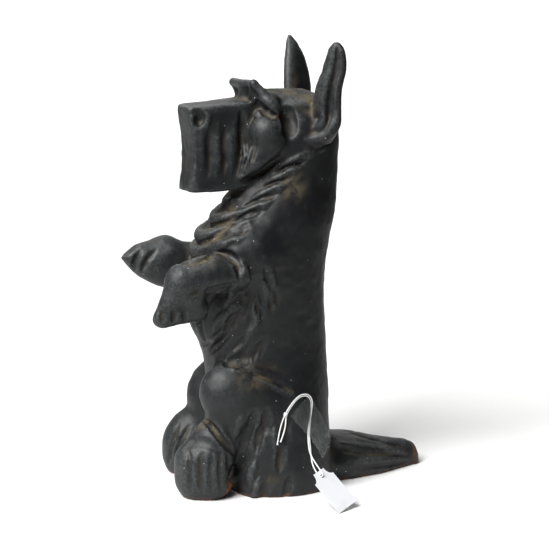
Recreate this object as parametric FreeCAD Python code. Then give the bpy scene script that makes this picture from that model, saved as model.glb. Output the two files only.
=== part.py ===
import FreeCAD, Part
import math
import os
from FreeCAD import Vector

# Door stop: a terrier that sits up to beg, cast in iron as a hollow left half and right half.
# Two slotted screws pull the halves together, and a strung card tag is taped to the left flank.
# Millimetres. +Z is up, the dog faces -Y and its left side is +X. The halves part on X = 0,
# and the origin is on the floor under the middle of the castings.

# ---- Overall size
TOP_Z = 380.0               # tip of the right ear
NOSE_Y = -83.0
TAIL_TIP_Y = 132.0
RAISED_PAW_Y = -132.0
BIG = 400.0                 # larger than the object in every direction
WALL = 5.5                  # thickness of the castings

# ---- Body, haunches, neck and skull: height, half width, front Y and back Y of each level
BODY = [(-10, 61, -57, 44), (25, 64, -58, 43), (60, 60, -62, 41), (90, 50, -66, 40), (120, 44, -69, 38),
        (155, 43, -71, 35), (190, 47, -70, 36), (220, 46, -67, 43), (250, 41, -46, 48), (275, 39, -36, 50),
        (300, 39, -32, 50), (320, 36, -30, 47), (334, 27, -24, 40), (341, 10, -10, 26)]
HOLLOW_LEVELS = 11          # the hollow stops at this many levels up
LEVEL_POINTS = 12           # points round each level

# ---- Head
CHEEK_AT = Vector(24, -10, 288)
CHEEK_R = 19.0
# Muzzle: Y, half width, bottom Z and top Z of each section, from the brow to the nose
MUZZLE = [(-18, 22, 266, 330), (-50, 20, 256, 327), (NOSE_Y, 15, 253, 323)]
MUZZLE_EDGE_R = 5.0
BROW_ROOT = Vector(11, -27, 322)
BROW_TIP = Vector(25, -31, 345)
BROW_R = (8.0, 2.5)
# Ears: the foot of the ear, its tip, and the radius at each
LEFT_EAR = (Vector(34, 28, 306), Vector(46, 33, 374))
RIGHT_EAR = (Vector(32, 27, 312), Vector(46, 27, TOP_Z - 3))
EAR_R = (14.0, 3.0)
EAR_CUP_R = (10.0, 1.5)
EAR_CUP_SHIFT = Vector(2, -9, 8)    # the hollow in the ear's front, from the ear's own axis

# ---- Forelegs
SHOULDER_AT = Vector(30, -34, 202)
SHOULDER_R = 22.0
ELBOW = Vector(37, -48, 189)
WRIST = Vector(38, -91, 183)
FOREARM_R = (17.0, 14.5)
LOW_PAW = (Vector(37, -80, 172), Vector(37, -113, 157))     # heel and toes of the left paw, which hangs
LOW_PAW_R = (16.0, 8.0)
RAISED_PAW = (Vector(-32, -66, 189), Vector(-32, RAISED_PAW_Y + 3, 198))    # the right foreleg is held up
RAISED_PAW_R = (24.0, 3.0)

# ---- Hind legs and tail
LEFT_SHANK = (Vector(32, -50, 84), Vector(34, -58, 30))
RIGHT_SHANK = (Vector(32, -47, 80), Vector(36, -50, 30))
SHANK_R = (28.0, 26.0)
LEFT_FOOT = (Vector(33, -64, 16), Vector(36, -85, 18))
RIGHT_FOOT = (Vector(38, -52, 16), Vector(41, -72, 17))
FOOT_R = (26.0, 22.0)
# Tail: Y, half width and height of each section
TAIL = [(10, 38, 48), (60, 30, 34), (95, 20, 27), (120, 11, 22), (TAIL_TIP_Y, 6, 13)]
HOLLOW_TAIL_SECTIONS = 4    # the hollow stops before the tail's tip
TAIL_SINK = 7.0             # how much of each section's half height is lost below the floor

# ---- Screws, along X: Y, Z and the X of the seat under the head, on the right half
SCREWS = {"shoulder_screw": (4.0, 226.0, -36.0), "haunch_screw": (6.0, 62.0, -50.0)}
SCREW_R = 3.1               # over the thread, a 1/4 in screw
TAPPED_R = 3.2
CLEARANCE_R = 3.6
THREAD_PITCH = 1.27
THREAD_DEPTH = 0.7
HEAD_R = 5.5
HEAD_H = 4.0
SLOT_W = 1.6
SLOT_D = 1.8
COUNTERBORE_R = 6.3
SCREW_TIP_X = 20.0
BOSS_R = 9.0
TAPPED_DEPTH = 24.0
# Locating pegs cast on the left half's rim: Y and Z
PEGS = [(46.0, 262.0), (-68.0, 150.0)]
PEG_R = 1.8
PEG_LENGTH = 3.0
PEG_GAP = 0.2

# ---- Tape stuck over the string on the left flank
TAPE_AT = Vector(51, 13, 60)        # a point under its middle
TAPE_NORMAL = Vector(0.84, 0.46, 0.28)
TAPE_TILT = 50.0            # degrees that its length turns up from level, towards the chest
TAPE_LENGTH = 46.0
TAPE_WIDTH = 24.0
TAPE_STANDOFF = 2.1         # the string lies under it
TAPE_THICKNESS = 0.25

# ---- Card tag. Its width and length directions lie in the card; the hole is its reference point.
TAG_HOLE_AT = Vector(97.3, 4.5, 26.0)
TAG_ACROSS = Vector(-0.50, 0.835, 0.226)
TAG_DOWN = Vector(0.516, 0.499, -0.696)
TAG_WIDTH = 24.0
TAG_LENGTH = 38.0
TAG_THICKNESS = 0.4
TAG_HOLE_R = 1.6
TAG_TOP = 5.0               # from the hole up to the top edge
SHOULDER_DROP = 7.5         # the top corners are scooped away by this much down each side
SHOULDER_IN = 5.5           # and by this much along the top
SHOULDER_SCOOP = 1.2        # depth of the scoop

# ---- String, one length doubled through the card's hole: each half's route, hand laid
STRING_R = 0.55
INNER_ROUTE = [(97.3, 4.5, 26.0), (99.2, 5.2, 27.9), (95.9, 3.0, 31.4), (88.0, 1.6, 35.5),
               (76.0, 2.2, 38.5), (66.0, 4.2, 41.5), (61.9, 4.9, 49.5), (58.8, 6.2, 58.5),
               (54.2, 9.2, 67.5), (49.0, 12.6, 76.5), (48.9, 9.5, 82.2), (51.2, 2.0, 83.0),
               (54.6, -5.5, 78.5), (58.0, -13.4, 69.6), (61.6, -15.0, 58.5), (63.5, -20.1, 48.3)]
OUTER_ROUTE = [(97.3, 4.5, 26.0), (95.4, 3.8, 24.1), (91.5, 1.4, 27.9), (84.5, 0.5, 33.0),
               (75.0, 3.0, 37.2), (65.5, 5.8, 41.0), (61.3, 6.3, 49.8), (58.2, 7.6, 58.9),
               (53.6, 10.6, 68.0), (48.0, 14.2, 77.5), (48.3, 10.3, 83.5), (51.1, 1.7, 84.4),
               (55.0, -6.8, 79.0), (58.2, -14.6, 70.2), (61.0, -20.3, 57.5), (63.0, -22.8, 46.0)]
KNOT_AT = Vector(58.8, -14.0, 70.1)
KNOT_R = 1.9


def level(z, half_width, front, back):
    """A smooth oval across the body."""
    middle = (front + back) / 2
    reach = (back - front) / 2
    points = []
    for step in range(LEVEL_POINTS):
        turn = 2 * math.pi * step / LEVEL_POINTS
        points.append(Vector(half_width * math.cos(turn), middle + reach * math.sin(turn), z))
    outline = Part.BSplineCurve()
    outline.interpolate(Points=points, PeriodicFlag=True)
    return Part.Wire([outline.toShape()])


def body(levels, inset=0.0):
    """Haunches, belly, chest, neck and skull in one smooth form."""
    wires = []
    for z, half_width, front, back in levels:
        wires.append(level(z, half_width - inset, front + inset, back - inset))
    return Part.makeLoft(wires, True)


def muzzle_block(inset=0.0):
    """The square bearded muzzle."""
    wires = []
    for y, half_width, low, high in MUZZLE:
        side = half_width - inset
        back = max(y, NOSE_Y + inset)
        corners = [Vector(-side, back, low + inset), Vector(side, back, low + inset),
                   Vector(side, back, high - inset), Vector(-side, back, high - inset)]
        wires.append(Part.makePolygon(corners + corners[:1]))
    return Part.makeLoft(wires, True, True)


def muzzle():
    """The muzzle with its long edges rounded."""
    block = muzzle_block()
    long_edges = [edge for edge in block.Edges if abs(edge.tangentAt(edge.FirstParameter).y) > 0.9]
    return block.makeFillet(MUZZLE_EDGE_R, long_edges)


def taper(ends, radii):
    """A round tapered bar with a ball at each end, tangent to the bar."""
    start, end = ends
    start_r, end_r = radii
    length = (end - start).Length
    lean = (start_r - end_r) / length
    rise = math.sqrt(1 - lean * lean)
    profile = [Part.Arc(Vector(-start_r, 0, 0), Vector(-start_r * math.sqrt((1 - lean) / 2),
                        start_r * math.sqrt((1 + lean) / 2), 0), Vector(start_r * lean, start_r * rise, 0)),
               Part.LineSegment(Vector(start_r * lean, start_r * rise, 0),
                                Vector(length + end_r * lean, end_r * rise, 0)),
               Part.Arc(Vector(length + end_r * lean, end_r * rise, 0),
                        Vector(length + end_r * math.sqrt((1 + lean) / 2), end_r * math.sqrt((1 - lean) / 2), 0),
                        Vector(length + end_r, 0, 0)),
               Part.LineSegment(Vector(length + end_r, 0, 0), Vector(-start_r, 0, 0))]
    face = Part.Face(Part.Wire([curve.toShape() for curve in profile]))
    bar = face.revolve(Vector(0, 0, 0), Vector(1, 0, 0), 360)
    bar.Placement = FreeCAD.Placement(start, FreeCAD.Rotation(Vector(1, 0, 0), end - start))
    return bar


def mirrored(point, side):
    """The point on the left side (+1) or its mirror image on the right (-1)."""
    return Vector(point.x * side, point.y, point.z)


def ear(ends, side):
    """A pointed ear with a hollow in its front."""
    root, tip = [mirrored(end, side) for end in ends]
    shift = mirrored(EAR_CUP_SHIFT, side)
    return taper((root, tip), EAR_R).cut(taper((root + shift, tip + shift), EAR_CUP_R))


def foreleg(side):
    """The left foreleg lets its paw hang; the right one points forwards."""
    if side > 0:
        return [taper((ELBOW, WRIST), FOREARM_R), taper(LOW_PAW, LOW_PAW_R)]
    return [taper(RAISED_PAW, RAISED_PAW_R)]


def tail(sections, inset=0.0):
    """The tail, which lies back along the floor."""
    wires = []
    for y, half_width, height in sections:
        half_height = height / 2 + TAIL_SINK
        section = level(0, half_width - inset, -half_height, half_height - inset)
        section.rotate(Vector(0, 0, 0), Vector(1, 0, 0), 90)
        section.translate(Vector(0, y, height - half_height))
        wires.append(section)
    return Part.makeLoft(wires, True)


def half_block(side):
    """Everything above the floor on one side of the parting plane."""
    corner = Vector(0 if side > 0 else -BIG, -BIG, 0)
    return Part.makeBox(BIG, 2 * BIG, 2 * BIG, corner)


def hind_leg(side, inset=0.0):
    """The shank and the foot, which stands on the floor."""
    shank, foot = (LEFT_SHANK, LEFT_FOOT) if side > 0 else (RIGHT_SHANK, RIGHT_FOOT)
    limbs = []
    for ends, radii in ((shank, SHANK_R), (foot, FOOT_R)):
        limbs.append(taper([mirrored(end, side) for end in ends], [r - inset for r in radii]))
    return limbs


def outside(side):
    """The outer form of one half as a full solid."""
    masses = [muzzle(), tail(TAIL), ear(LEFT_EAR if side > 0 else RIGHT_EAR, side),
              Part.makeSphere(CHEEK_R, mirrored(CHEEK_AT, side)),
              taper((mirrored(BROW_ROOT, side), mirrored(BROW_TIP, side)), BROW_R),
              Part.makeSphere(SHOULDER_R, mirrored(SHOULDER_AT, side))]
    return body(BODY).fuse(masses + hind_leg(side) + foreleg(side)).common(half_block(side))


def rod(radius, y, z, start_x, end_x):
    """A round rod along X."""
    return Part.makeCylinder(radius, end_x - start_x, Vector(start_x, y, z), Vector(1, 0, 0))


def hollow(side):
    """The space inside the dog, open at the underside, with the screw bosses left standing in it."""
    bosses = [rod(BOSS_R, y, z, -BIG, BIG) for y, z, seat in SCREWS.values()]
    spaces = [tail(TAIL[:HOLLOW_TAIL_SECTIONS], WALL), muzzle_block(WALL)] + hind_leg(side, WALL)
    return body(BODY[:HOLLOW_LEVELS], WALL).fuse(spaces).cut(bosses)


def casting(side):
    """One half of the dog, with its screw holes and its locating pegs or their sockets."""
    cuts = [hollow(side)]
    for y, z, seat in SCREWS.values():
        if side > 0:
            cuts.append(rod(TAPPED_R, y, z, -1, TAPPED_DEPTH))
        else:
            cuts.append(rod(CLEARANCE_R, y, z, seat - 1, 1))
            cuts.append(rod(COUNTERBORE_R, y, z, -BIG, seat))
    if side < 0:
        cuts += [rod(PEG_R + PEG_GAP, y, z, -PEG_LENGTH - PEG_GAP, 1) for y, z in PEGS]
    shell = outside(side)
    for space in cuts:
        shell = shell.cut(space)
    if side > 0:
        shell = shell.fuse([rod(PEG_R, y, z, -PEG_LENGTH, 2) for y, z in PEGS])
    return shell


def screw(y, z, seat):
    """A slotted screw: head, plain neck and a thread shown as turned ridges."""
    profile = [Vector(seat - HEAD_H, 0, 0), Vector(seat - HEAD_H, HEAD_R - 0.8, 0),
               Vector(seat - HEAD_H + 0.8, HEAD_R, 0), Vector(seat, HEAD_R, 0), Vector(seat, SCREW_R, 0)]
    turns = int((SCREW_TIP_X + 2) / THREAD_PITCH)
    for turn in range(turns):
        crest_x = SCREW_TIP_X - (turns - turn) * THREAD_PITCH
        profile.append(Vector(crest_x, SCREW_R, 0))
        profile.append(Vector(crest_x + THREAD_PITCH / 2, SCREW_R - THREAD_DEPTH, 0))
    profile.append(Vector(SCREW_TIP_X, SCREW_R, 0))
    profile.append(Vector(SCREW_TIP_X + 1.5, 0, 0))
    face = Part.Face(Part.makePolygon(profile + profile[:1]))
    slot = Part.makeBox(SLOT_D, SLOT_W, 2 * HEAD_R, Vector(seat - HEAD_H, -SLOT_W / 2, -HEAD_R))
    bolt = face.revolve(Vector(0, 0, 0), Vector(1, 0, 0), 360).cut(slot)
    bolt.translate(Vector(0, y, z))
    return bolt


def local_frame(origin, x_axis, normal):
    """A placement whose X runs along x_axis and whose Z is the normal."""
    turn = FreeCAD.Rotation(x_axis, normal.cross(x_axis), normal, "ZXY")
    return FreeCAD.Placement(origin, turn)


def tape():
    """A strip of clear tape that follows the flank."""
    level_way = Vector(0, 0, 1).cross(TAPE_NORMAL).negative()
    strip = Part.makeBox(TAPE_LENGTH, TAPE_WIDTH, 40, Vector(-TAPE_LENGTH / 2, -TAPE_WIDTH / 2, -15))
    strip.Placement = local_frame(TAPE_AT, level_way, TAPE_NORMAL)
    strip.rotate(TAPE_AT, TAPE_NORMAL, -TAPE_TILT)
    low_levels = BODY[:6]
    skin = body(low_levels, -TAPE_STANDOFF - TAPE_THICKNESS).cut(body(low_levels, -TAPE_STANDOFF))
    return skin.common(strip)


def tag():
    """The card, with scooped top corners and the string's hole."""
    half = TAG_WIDTH / 2
    side_top = TAG_TOP - SHOULDER_DROP
    inner = half - SHOULDER_IN
    bottom = TAG_TOP - TAG_LENGTH
    scoop = Vector(half - SHOULDER_IN / 2 - SHOULDER_SCOOP, TAG_TOP - SHOULDER_DROP / 2 - SHOULDER_SCOOP, 0)
    right = Part.Arc(Vector(half, side_top, 0), scoop, Vector(inner, TAG_TOP, 0))
    left = Part.Arc(Vector(-inner, TAG_TOP, 0), Vector(-scoop.x, scoop.y, 0), Vector(-half, side_top, 0))
    edges = [Part.LineSegment(Vector(-half, side_top, 0), Vector(-half, bottom, 0)),
             Part.LineSegment(Vector(-half, bottom, 0), Vector(half, bottom, 0)),
             Part.LineSegment(Vector(half, bottom, 0), Vector(half, side_top, 0)), right,
             Part.LineSegment(Vector(inner, TAG_TOP, 0), Vector(-inner, TAG_TOP, 0)), left]
    card = Part.Face(Part.Wire([edge.toShape() for edge in edges])).extrude(Vector(0, 0, TAG_THICKNESS))
    card.translate(Vector(0, 0, -TAG_THICKNESS / 2))
    card = card.cut(Part.makeCylinder(TAG_HOLE_R, 4, Vector(0, 0, -2)))
    card.Placement = local_frame(TAG_HOLE_AT, TAG_ACROSS, TAG_DOWN.cross(TAG_ACROSS))
    return card


def rounded_route(name, route):
    """Straight runs joined by tangent arcs, each arc as large as its two runs allow."""
    points = [Vector(*point) for point in route]
    edges = []
    radii = []
    start = points[0]
    for before, corner, after in zip(points, points[1:], points[2:]):
        way_in = (corner - before).normalize()
        way_out = (after - corner).normalize()
        half_turn = way_in.getAngle(way_out) / 2
        cut_back = 0.45 * min((corner - before).Length, (after - corner).Length)
        radius = cut_back / math.tan(half_turn)
        enter = corner - way_in * cut_back
        leave = corner + way_out * cut_back
        inwards = (way_out - way_in).normalize()
        middle = corner + inwards * (radius / math.cos(half_turn) - radius)
        edges.append(Part.LineSegment(start, enter).toShape())
        edges.append(Part.Arc(enter, middle, leave).toShape())
        radii.append(round(radius, 1))
        start = leave
    edges.append(Part.LineSegment(start, points[-1]).toShape())
    print(name, "arc radii", radii)
    return Part.Wire(edges)


def string(name, route):
    """One half of the string, round in section."""
    path = rounded_route(name, route)
    first = Vector(*route[1]) - Vector(*route[0])
    end = Part.Wire(Part.makeCircle(STRING_R, Vector(*route[0]), first))
    tube = path.makePipeShell([end], True, False)
    print(name, "length", round(path.Length, 1), "volume against section times length",
          round(tube.Volume / (math.pi * STRING_R ** 2 * path.Length), 3))
    return tube


def build():
    """Every node by name."""
    nodes = {"left_half_casting": casting(1), "right_half_casting": casting(-1)}
    for name, (y, z, seat) in SCREWS.items():
        nodes[name] = screw(y, z, seat)
    nodes["tape_strip"] = tape()
    nodes["tag_card"] = tag()
    nodes["string_inner"] = string("string_inner", INNER_ROUTE)
    nodes["string_outer"] = string("string_outer", OUTER_ROUTE)
    knot = Part.makeSphere(KNOT_R, KNOT_AT)
    nodes["string_knot"] = knot.cut([nodes["string_inner"], nodes["string_outer"]])
    return nodes


os.makedirs("parts", exist_ok=True)
for name, shape in build().items():
    print(name, shape.isValid(), len(shape.Solids), round(shape.Volume, 1))
    shape.exportStep("parts/" + name + ".step")
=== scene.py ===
import math

import bmesh
import bpy
import numpy as np
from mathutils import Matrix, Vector


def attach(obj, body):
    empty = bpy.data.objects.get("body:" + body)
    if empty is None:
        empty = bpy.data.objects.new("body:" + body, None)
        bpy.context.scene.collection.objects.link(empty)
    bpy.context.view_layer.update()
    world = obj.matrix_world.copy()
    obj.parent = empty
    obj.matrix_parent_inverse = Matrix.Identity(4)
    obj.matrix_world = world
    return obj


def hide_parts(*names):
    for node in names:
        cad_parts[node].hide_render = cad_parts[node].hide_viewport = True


# Door stop: a cast-iron terrier that sits up to beg, in two hollow halves, with a strung card tag.
# The castings are sculpted here as a distance field, in millimetres, and meshed. The rest is in metres.
# +Z is up, the dog faces -Y and its left side is +X. The halves part on X = 0.

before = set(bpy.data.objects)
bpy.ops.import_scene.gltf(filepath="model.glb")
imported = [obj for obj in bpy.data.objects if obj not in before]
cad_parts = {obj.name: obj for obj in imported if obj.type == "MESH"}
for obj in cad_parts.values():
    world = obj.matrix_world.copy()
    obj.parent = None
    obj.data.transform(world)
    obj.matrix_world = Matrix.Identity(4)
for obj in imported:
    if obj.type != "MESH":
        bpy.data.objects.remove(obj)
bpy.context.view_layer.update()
MM = 0.001

# ---- Camera: from the dog's left, a little in front and above
CAMERA_AT = (1.5072, -0.5249, 0.482)
CAMERA_LOOKS_AT = (0.0, -0.003, 0.178)
CAMERA_LENS = 124.04
CAMERA_SENSOR = 36.0


def make_camera():
    data = bpy.data.cameras.new("camera")
    data.lens = CAMERA_LENS
    data.sensor_width = CAMERA_SENSOR
    camera = bpy.data.objects.new("camera", data)
    camera.location = CAMERA_AT
    look = Vector(CAMERA_LOOKS_AT) - Vector(CAMERA_AT)
    camera.rotation_euler = look.to_track_quat("-Z", "Y").to_euler()
    bpy.context.scene.collection.objects.link(camera)
    bpy.context.scene.camera = camera


make_camera()


# ---- Helpers
def unit(way):
    """A vector, or each row of an array of vectors, at a length of 1."""
    way = np.asarray(way, dtype=float)
    return way / np.linalg.norm(way, axis=-1, keepdims=True)


def framed(line, aside):
    """Each point of a line, with two directions square to the line there that don't twist along it."""
    ways = unit(np.gradient(line, axis=0))
    across = np.cross(ways[0], aside)
    for spot, way in zip(line, ways):
        across = unit(across - way * (across @ way))
        yield spot, across, np.cross(way, across)


def around(radius, turn, across, up):
    """The offset to a point of a circle, at a turn in radians."""
    return radius * (math.cos(turn) * across + math.sin(turn) * up)


def add_piece(name, mesh):
    piece = bpy.data.objects.new(name, mesh)
    bpy.context.scene.collection.objects.link(piece)
    return piece


def add_mesh(name, points, faces, material):
    """A smooth-shaded mesh piece from points in metres."""
    mesh = bpy.data.meshes.new(name)
    mesh.from_pydata([tuple(point) for point in points], [], [tuple(face) for face in faces])
    mesh.polygons.foreach_set("use_smooth", [True] * len(mesh.polygons))
    mesh.materials.append(material)
    return add_piece(name, mesh)


def store(mesh, name, values):
    """Keeps one number for each point of a mesh, for its material to read."""
    layer = mesh.attributes.new(name, "FLOAT", "POINT")
    layer.data.foreach_set("value", values)


def tube_mesh(lines, radii, sides=8):
    """Points and faces of round tubes that follow lines of points, closed at both ends."""
    points = []
    faces = []
    for line, radius in zip(lines, radii):
        line = np.array(line, dtype=float)
        first = len(points)
        for spot, across, up in framed(line, (0.3, 0.2, 0.9)):
            for i in range(sides):
                points.append(spot + around(radius, 2 * math.pi * i / sides, across, up))
        for ring in range(len(line) - 1):
            start = first + ring * sides
            for i in range(sides):
                j = (i + 1) % sides
                faces.append((start + i, start + j, start + sides + j, start + sides + i))
        faces.append(tuple(first + i for i in reversed(range(sides))))
        faces.append(tuple(first + (len(line) - 1) * sides + i for i in range(sides)))
    return points, faces


# ---- String: one length doubled through the card's hole. Each half's route, in metres.
TAG_HOLE_AT = (0.0973, 0.0045, 0.0260)
INNER_ROUTE = [(0.0973, 0.0045, 0.0260), (0.0992, 0.0052, 0.0279), (0.0959, 0.0030, 0.0314),
               (0.0880, 0.0016, 0.0355), (0.0760, 0.0022, 0.0385), (0.0660, 0.0042, 0.0415),
               (0.0619, 0.0049, 0.0495), (0.0588, 0.0062, 0.0585), (0.0542, 0.0092, 0.0675),
               (0.0490, 0.0126, 0.0765), (0.0489, 0.0095, 0.0822), (0.0512, 0.0020, 0.0830),
               (0.0546, -0.0055, 0.0785), (0.0580, -0.0134, 0.0696), (0.0616, -0.0150, 0.0585),
               (0.0635, -0.0201, 0.0483)]
OUTER_ROUTE = [(0.0973, 0.0045, 0.0260), (0.0954, 0.0038, 0.0241), (0.0915, 0.0014, 0.0279),
               (0.0845, 0.0005, 0.0330), (0.0750, 0.0030, 0.0372), (0.0655, 0.0058, 0.0410),
               (0.0613, 0.0063, 0.0498), (0.0582, 0.0076, 0.0589), (0.0536, 0.0106, 0.0680),
               (0.0480, 0.0142, 0.0775), (0.0483, 0.0103, 0.0835), (0.0511, 0.0017, 0.0844),
               (0.0550, -0.0068, 0.0790), (0.0582, -0.0146, 0.0702), (0.0610, -0.0203, 0.0575),
               (0.0630, -0.0228, 0.0460)]
STRANDS = 3
STRAND_R = 0.00033
STRAND_OFFSET = 0.00026
STRAND_PITCH = 0.0032
FRAY_LENGTH = 0.0022        # the cut end spreads over this length
FRAY_SPREAD = 0.00055
STRING_STEP = 0.0004


def route_line(route):
    """Evenly spaced points along the smooth spline that a route's points control."""
    curve = bpy.data.curves.new("route", "CURVE")
    curve.dimensions = "3D"
    curve.resolution_u = 24
    spline = curve.splines.new("NURBS")
    spline.points.add(len(route) - 1)
    for point, place in zip(spline.points, route):
        point.co = (*place, 1.0)
    spline.order_u = 3
    spline.use_endpoint_u = True
    guide = bpy.data.objects.new("route", curve)
    mesh = bpy.data.meshes.new_from_object(guide)
    line = np.array([vertex.co for vertex in mesh.vertices])
    bpy.data.objects.remove(guide)
    bpy.data.curves.remove(curve)
    bpy.data.meshes.remove(mesh)
    at = np.concatenate([[0], np.cumsum(np.linalg.norm(np.diff(line, axis=0), axis=1))])
    spaced = np.linspace(0, at[-1], int(at[-1] / STRING_STEP))
    return np.stack([np.interp(spaced, at, line[:, i]) for i in range(3)], 1), float(at[-1])


def twisted(line, length):
    """Strands twisted round a line, spreading where the string is cut."""
    strands = [[] for _ in range(STRANDS)]
    for i, (spot, across, up) in enumerate(framed(line, (0.1, 0.9, 0.3))):
        along = length * i / (len(line) - 1)
        fray = max(0.0, (along - length + FRAY_LENGTH) / FRAY_LENGTH)
        offset = STRAND_OFFSET + (FRAY_SPREAD - STRAND_OFFSET) * fray ** 2
        for number, strand in enumerate(strands):
            turn = 2 * math.pi * (along / STRAND_PITCH + number / STRANDS)
            strand.append(spot + around(offset, turn, across, up))
    return strands


# ---- Clay: the signed distance to the dog's skin, on a grid of points, in millimetres
STEP = 1.3
FAR = 40.0
NEAR_ENOUGH = 0.4           # a place this close to the skin counts as on it


def smooth_min(a, b, blend):
    """The smaller of two distances, with the corner between them filled over the blend."""
    if blend <= 0:
        return np.minimum(a, b)
    mix = np.clip(0.5 + 0.5 * (b - a) / blend, 0, 1)
    return b + (a - b) * mix - blend * mix * (1 - mix)


class Clay:
    """A block of clay that masses are added to and tools cut into."""

    def __init__(self, low, high):
        self.axes = [np.arange(a, b + STEP, STEP, dtype=np.float32) for a, b in zip(low, high)]
        self.field = np.full([len(axis) for axis in self.axes], FAR, dtype=np.float32)

    def window(self, low, high):
        """The slices of the grid inside a box, and their coordinates."""
        cuts = []
        for axis, a, b in zip(self.axes, low, high):
            cuts.append(slice(int(np.searchsorted(axis, a)), int(np.searchsorted(axis, b))))
        x, y, z = [axis[cut] for axis, cut in zip(self.axes, cuts)]
        return tuple(cuts), (x[:, None, None], y[None, :, None], z[None, None, :])

    def add(self, shape, blend=3.0):
        low, high, distance = shape
        reach = blend + 8
        cuts, grid = self.window(np.array(low) - reach, np.array(high) + reach)
        self.field[cuts] = smooth_min(self.field[cuts], distance(*grid), blend)

    def cut(self, shape, blend=2.0):
        low, high, distance = shape
        reach = blend + 3
        cuts, grid = self.window(np.array(low) - reach, np.array(high) + reach)
        self.field[cuts] = -smooth_min(-self.field[cuts], distance(*grid), blend)

    def nearest(self, spot, margin):
        """The grid point nearest to a place, kept some points off the grid's edges."""
        return tuple(int(np.clip(round((value - axis[0]) / STEP), margin, len(axis) - 1 - margin))
                     for value, axis in zip(spot, self.axes))

    def skin_x(self, side, y, z):
        """X of the skin at a Y and Z: 1 is the left side, -1 the right, and 0 the right limbs' inner face."""
        _, j, k = self.nearest((0, y, z), 1)
        row = self.field[:, j, k]
        xs = self.axes[0]
        inside = np.nonzero((row < 0) & ((xs > 0) if side > 0 else (xs < 0)))[0]
        if len(inside) == 0:
            return 0.0
        i = inside.min() if side < 0 else inside.max()
        step = -1 if side < 0 else 1
        a, b = row[i], row[i + step]
        return float(xs[i] + step * STEP * a / (a - b))

    def depth_along(self, start, way, farthest):
        """How far it is from a point outside to the skin, along a direction."""
        depth = 0.0
        while depth < farthest:
            gap = float(self.field[self.nearest(start + depth * way, 1)])
            if gap < NEAR_ENOUGH:
                return depth + gap
            depth += max(gap * 0.7, 0.3)
        return farthest

    def front_y(self, x, z):
        """How far forward the skin is, at a place across the body and a height."""
        i, _, k = self.nearest((x, 0, z), 1)
        row = self.field[i, :, k]
        j = int(np.nonzero(row < 0)[0].min())
        return float(self.axes[1][j] - STEP * row[j] / (row[j] - row[j - 1]))

    def normal(self, x, y, z):
        """The outward direction of the field near a point."""
        at = self.nearest((x, y, z), 2)
        slope = []
        for axis in range(3):
            more = list(at)
            less = list(at)
            more[axis] += 2
            less[axis] -= 2
            slope.append(self.field[tuple(more)] - self.field[tuple(less)])
        slope = np.array(slope, dtype=float)
        return slope / (np.linalg.norm(slope) + 1e-9)


def turned(angles):
    """A rotation matrix from turns about X, Y and Z, in degrees."""
    ax, ay, az = np.radians(angles)
    cx, cy, cz = math.cos(ax), math.cos(ay), math.cos(az)
    sx, sy, sz = math.sin(ax), math.sin(ay), math.sin(az)
    about_x = np.array([[1, 0, 0], [0, cx, -sx], [0, sx, cx]])
    about_y = np.array([[cy, 0, sy], [0, 1, 0], [-sy, 0, cy]])
    about_z = np.array([[cz, -sz, 0], [sz, cz, 0], [0, 0, 1]])
    return about_z @ about_y @ about_x


def about(centre, half_sizes, angles, own_distance):
    """A form about a centre, from a distance that takes offsets along the form's own turned axes."""
    turn = turned(angles)
    reach = np.abs(turn) @ np.array(half_sizes, dtype=float)

    def distance(x, y, z):
        dx, dy, dz = x - centre[0], y - centre[1], z - centre[2]
        return own_distance([turn[0, i] * dx + turn[1, i] * dy + turn[2, i] * dz for i in range(3)])

    return np.array(centre) - reach, np.array(centre) + reach, distance


def oval(offsets, radii):
    """How far out places are as a part of an oval's radius, and their distance from it, near enough."""
    part = np.sqrt(sum((offset / radius) ** 2 for offset, radius in zip(offsets, radii)))
    slope = np.sqrt(sum((offset / radius ** 2) ** 2 for offset, radius in zip(offsets, radii)))
    return part, part * (part - 1) / np.maximum(slope, 1e-6)


def capped(across, beyond):
    """The distance to a form from its distance across and how far a place is beyond its end."""
    return np.where(beyond > 0, np.sqrt(np.maximum(across, 0) ** 2 + beyond ** 2), across)


def egg(centre, radii, angles=(0, 0, 0)):
    """An ellipsoid, turned about its centre."""
    return about(centre, radii, angles, lambda offsets: oval(offsets, radii)[1])


def limb(points, radii):
    """A bent bar through points, whose radius changes from point to point."""
    points = np.array(points, dtype=float)
    widest = max(radii)

    def distance(x, y, z):
        nearest = None
        for a, b, ra, rb in zip(points, points[1:], radii, radii[1:]):
            way = b - a
            along = ((x - a[0]) * way[0] + (y - a[1]) * way[1] + (z - a[2]) * way[2]) / (way @ way)
            along = np.clip(along, 0, 1)
            gap = np.sqrt((x - a[0] - along * way[0]) ** 2 + (y - a[1] - along * way[1]) ** 2
                          + (z - a[2] - along * way[2]) ** 2) - (ra + (rb - ra) * along)
            nearest = gap if nearest is None else np.minimum(nearest, gap)
        return nearest

    return points.min(0) - widest, points.max(0) + widest, distance


def block(centre, half_sizes, edge, angles=(0, 0, 0)):
    """A box with rounded edges, turned about its centre."""
    def own_distance(offsets):
        over = [np.abs(offset) - half + edge for offset, half in zip(offsets, half_sizes)]
        outside = np.sqrt(sum(np.maximum(v, 0) ** 2 for v in over))
        inside = np.minimum(np.maximum(np.maximum(over[0], over[1]), over[2]), 0)
        return outside + inside - edge

    return about(centre, half_sizes, angles, own_distance)


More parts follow.
